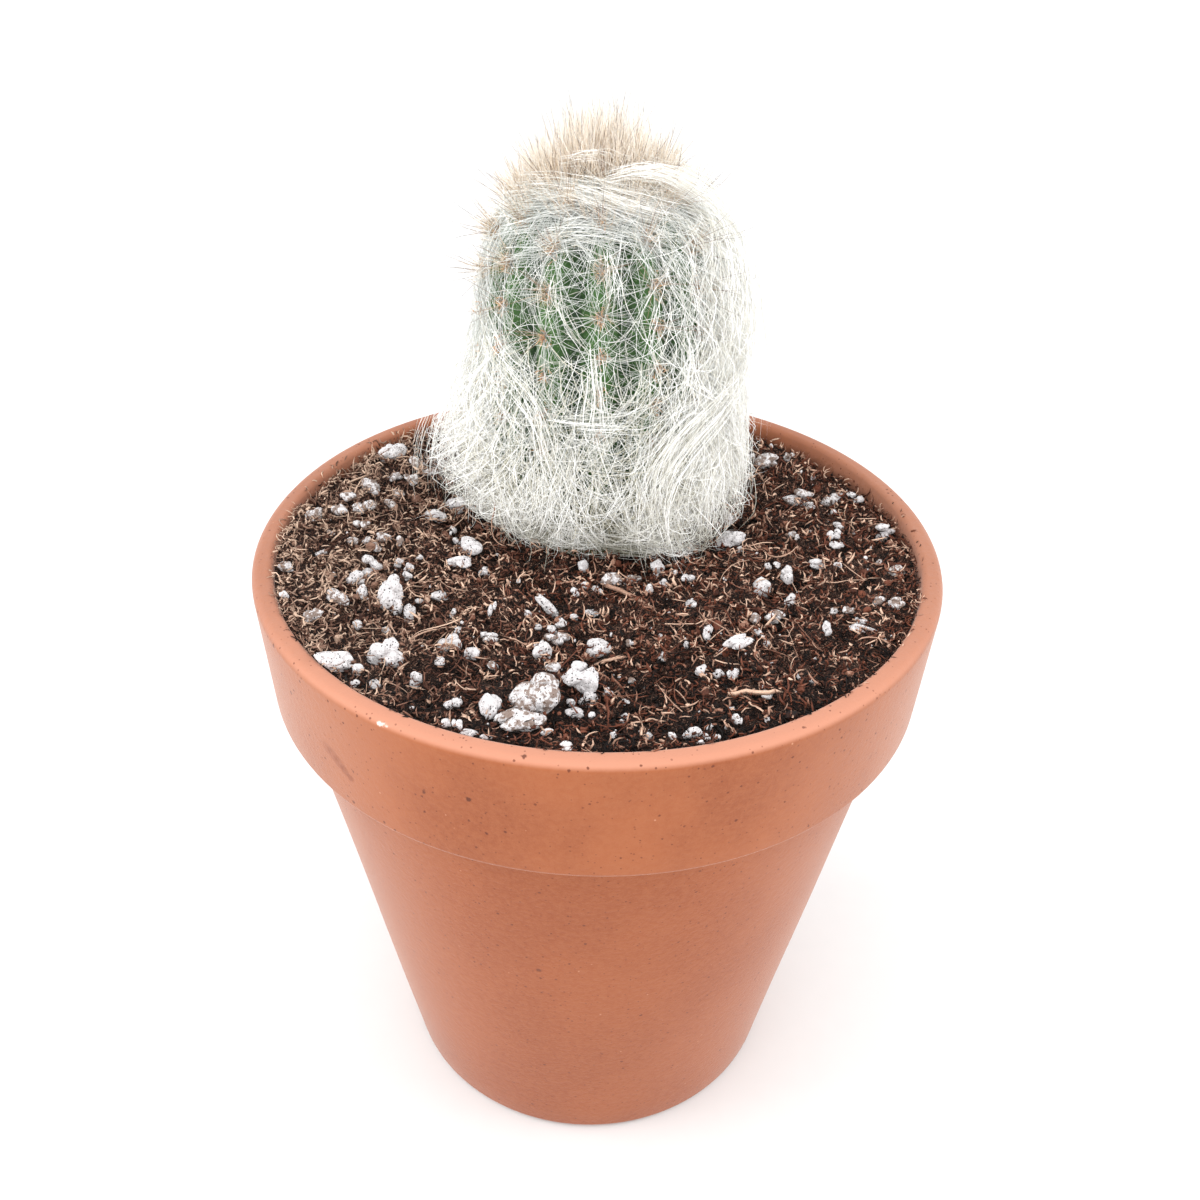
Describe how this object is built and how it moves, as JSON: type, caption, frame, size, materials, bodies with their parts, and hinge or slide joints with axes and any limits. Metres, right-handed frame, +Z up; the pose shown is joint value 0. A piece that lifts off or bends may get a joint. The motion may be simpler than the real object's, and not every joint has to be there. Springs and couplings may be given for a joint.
{
  "type": "potted old man cactus",
  "caption": "Ribbed columnar cactus in a coat of white wool, standing behind the centre of a tapered clay pot with a thick band round its rim, filled with potting mix.",
  "frame": {"origin": "centre of the pot's foot, on the surface that the pot stands on", "axes": "+Z up along the pot's axis; the cactus stands off the axis towards +Y, so the side with the open potting mix faces -Y"},
  "size_m": [0.1018, 0.1018, 0.1579],
  "materials": {
    "terracotta": "unglazed, matt",
    "potting_mix": "loose coir, bark and perlite, matt",
    "green_stem": "waxy plant skin, satin",
    "white_wool": "fine tangled hair"
  },
  "bodies": {
    "root": {"pot": "terracotta", "soil": "potting_mix", "stem": "green_stem", "wool": "white_wool"}
  },
  "joints": []
}
